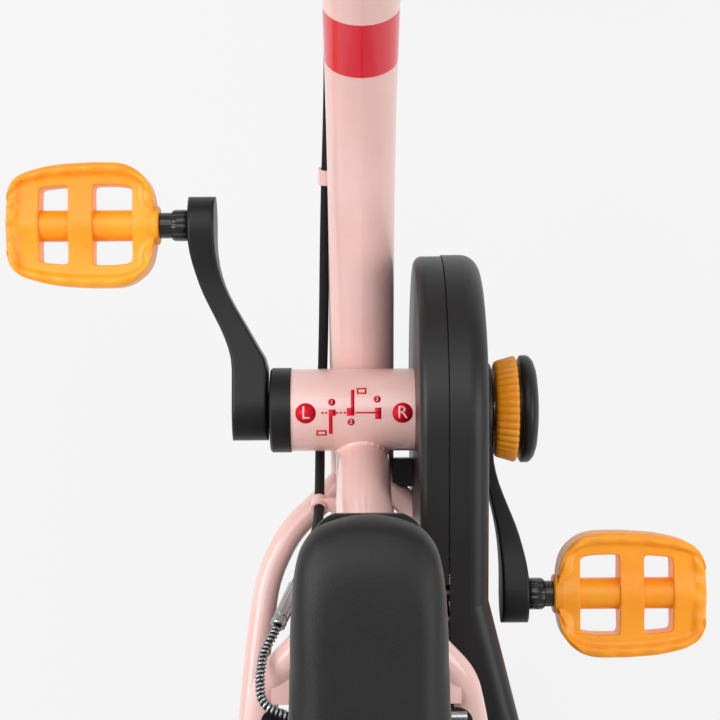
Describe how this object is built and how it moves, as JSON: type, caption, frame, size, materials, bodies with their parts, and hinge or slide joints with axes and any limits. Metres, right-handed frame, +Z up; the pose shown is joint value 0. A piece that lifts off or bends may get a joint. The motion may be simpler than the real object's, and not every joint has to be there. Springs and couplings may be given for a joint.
{
  "type": "child's bicycle on a display stand",
  "caption": "Child's pedal bicycle with a tool-free removable crank set, curved main tube, chain guard and rim brakes, held at its rear axle by a tubular display stand.",
  "frame": {"origin": "on the floor, under the middle of the tyres' length and the handlebar's width", "axes": "+X forwards, +Y to the rider's left, +Z up"},
  "size_m": [1.018, 0.5, 0.6231],
  "materials": {
    "black_metal": "satin powder coat",
    "black_plastic": "fine moulded texture",
    "black_rubber": "matte",
    "chain_steel": "oiled",
    "orange_plastic": "moulded",
    "pink": "satin paint",
    "saddle_cover": "fine grained synthetic",
    "stand_coat": "powder coat",
    "steel": "zinc plated",
    "tyre": "matte"
  },
  "bodies": {
    "stand": {"stand_frame": "stand_coat", "stand_fittings": "black_plastic"},
    "frame": {"head_tube": "pink", "main_tube": "pink", "bottom_bracket_shell": "pink", "seat_tube": "pink", "chainstays": "pink", "seatstays": "pink", "frame_fittings": "pink", "bottom_bracket_cups": "black_plastic", "headset_and_bearings": "black_metal", "chain_guard_outer": "black_plastic", "chain_guard_inner": "black_plastic", "seat_clamp": "black_metal", "rear_axle": "steel", "rear_brake_cable": "black_rubber", "rear_brake_noodle": "steel", "chain": "chain_steel"},
    "steering": {"fork": "pink", "stem": "black_metal", "handlebar": "black_metal", "grips": "black_rubber", "brake_lever_mounts": "black_plastic", "front_axle": "steel", "front_brake_cable": "black_rubber", "rear_brake_cable_loop": "black_rubber"},
    "front_wheel": {"front_wheel_tyre": "tyre", "front_wheel_rim": "black_metal", "front_wheel_spokes": "steel", "front_wheel_hub": "black_metal"},
    "rear_wheel": {"rear_wheel_tyre": "tyre", "rear_wheel_rim": "black_metal", "rear_wheel_spokes": "steel", "rear_wheel_hub": "black_metal"},
    "freewheel": {"rear_sprocket": "chain_steel"},
    "crankset": {"left_crank": "black_metal", "right_crank": "black_metal", "chainring": "black_metal", "pedal_spindles": "black_metal", "knob_washer": "steel"},
    "knob": {"knob_grip": "orange_plastic", "knob_cap": "black_plastic", "draw_bolt": "steel"},
    "left_pedal": {"left_pedal": "orange_plastic"},
    "right_pedal": {"right_pedal": "orange_plastic"},
    "saddle": {"seatpost": "steel", "saddle_rails": "steel", "saddle_base": "black_plastic", "saddle_pad": "saddle_cover"},
    "left_brake_lever": {"left_brake_lever": "black_plastic"},
    "right_brake_lever": {"right_brake_lever": "black_plastic"},
    "front_brake_left": {"front_brake_arm_left": "black_metal", "front_brake_pad_left": "black_rubber"},
    "front_brake_right": {"front_brake_arm_right": "black_metal", "front_brake_pad_right": "black_rubber"},
    "rear_brake_left": {"rear_brake_arm_left": "black_metal", "rear_brake_pad_left": "black_rubber"},
    "rear_brake_right": {"rear_brake_arm_right": "black_metal", "rear_brake_pad_right": "black_rubber"}
  },
  "joints": [
    {"name": "lift_off", "type": "slide", "parent": "stand", "child": "frame", "axis": [0, 0, 1], "range_m": [0, 0.2]},
    {"name": "steering", "type": "hinge", "parent": "frame", "child": "steering", "pos_m": [0.21382, 0, 0.40598], "axis": [-0.3584, 0, 0.9336], "range_deg": [-60, 60], "deforming": ["rear_brake_cable_loop"]},
    {"name": "front_wheel_spin", "type": "hinge", "parent": "steering", "child": "front_wheel", "pos_m": [0.335, 0, 0.174], "axis": [0, 1, 0], "continuous": true},
    {"name": "crank_spin", "type": "hinge", "parent": "frame", "child": "crankset", "pos_m": [-0.07621, 0, 0.178], "axis": [0, 1, 0], "continuous": true, "deforming": ["chain"]},
    {"name": "rear_wheel_spin", "type": "hinge", "parent": "frame", "child": "rear_wheel", "pos_m": [-0.335, 0, 0.18], "axis": [0, 1, 0], "continuous": true},
    {"name": "freewheel_spin", "type": "hinge", "parent": "frame", "child": "freewheel", "pos_m": [-0.335, 0, 0.18], "axis": [0, 1, 0], "continuous": true},
    {"name": "knob_turn", "type": "hinge", "parent": "crankset", "child": "knob", "pos_m": [-0.07621, 0, 0.178], "axis": [0, -1, 0], "range_deg": [0, 1080]},
    {"name": "left_pedal_spin", "type": "hinge", "parent": "crankset", "child": "left_pedal", "pos_m": [0.01279, 0, 0.178], "axis": [0, 1, 0], "continuous": true},
    {"name": "right_pedal_spin", "type": "hinge", "parent": "crankset", "child": "right_pedal", "pos_m": [-0.16521, 0, 0.178], "axis": [0, 1, 0], "continuous": true},
    {"name": "saddle_height", "type": "slide", "parent": "frame", "child": "saddle", "axis": [-0.309, 0, 0.9511], "range_m": [-0.03, 0.06]},
    {"name": "left_lever_pull", "type": "hinge", "parent": "steering", "child": "left_brake_lever", "pos_m": [0.17946, 0.14233, 0.60437], "axis": [0.0044, 0.0716, 0.9974], "range_deg": [0, 11.5], "stiffness_Nm_per_rad": 1.5, "springref_deg": -5.73, "deforming": ["front_brake_cable"]},
    {"name": "right_lever_pull", "type": "hinge", "parent": "steering", "child": "right_brake_lever", "pos_m": [0.17946, -0.14233, 0.60437], "axis": [-0.0044, 0.0716, -0.9974], "range_deg": [0, 11.5], "stiffness_Nm_per_rad": 1.5, "springref_deg": -5.73},
    {"name": "front_brake_left_swing", "type": "hinge", "parent": "steering", "child": "front_brake_left", "pos_m": [0.28541, 0.034, 0.26428], "axis": [0.8765, 0, 0.4814], "range_deg": [0, 3]},
    {"name": "front_brake_right_swing", "type": "hinge", "parent": "steering", "child": "front_brake_right", "pos_m": [0.28541, -0.034, 0.26428], "axis": [-0.8765, 0, -0.4814], "range_deg": [0, 3]},
    {"name": "rear_brake_left_swing", "type": "hinge", "parent": "frame", "child": "rear_brake_left", "pos_m": [-0.25303, 0.034, 0.24237], "axis": [0.6055, 0, -0.7958], "range_deg": [0, 3], "deforming": ["rear_brake_noodle"]},
    {"name": "rear_brake_right_swing", "type": "hinge", "parent": "frame", "child": "rear_brake_right", "pos_m": [-0.25303, -0.034, 0.24237], "axis": [-0.6055, 0, 0.7958], "range_deg": [0, 3]}
  ],
  "couplings": [
    {"joint": "rear_wheel_spin", "follows": "crank_spin", "ratio": 2},
    {"joint": "freewheel_spin", "follows": "crank_spin", "ratio": 2},
    {"joint": "front_brake_left_swing", "follows": "left_lever_pull", "ratio": 0.25},
    {"joint": "front_brake_right_swing", "follows": "left_lever_pull", "ratio": 0.25},
    {"joint": "rear_brake_left_swing", "follows": "right_lever_pull", "ratio": 0.25},
    {"joint": "rear_brake_right_swing", "follows": "right_lever_pull", "ratio": 0.25}
  ]
}
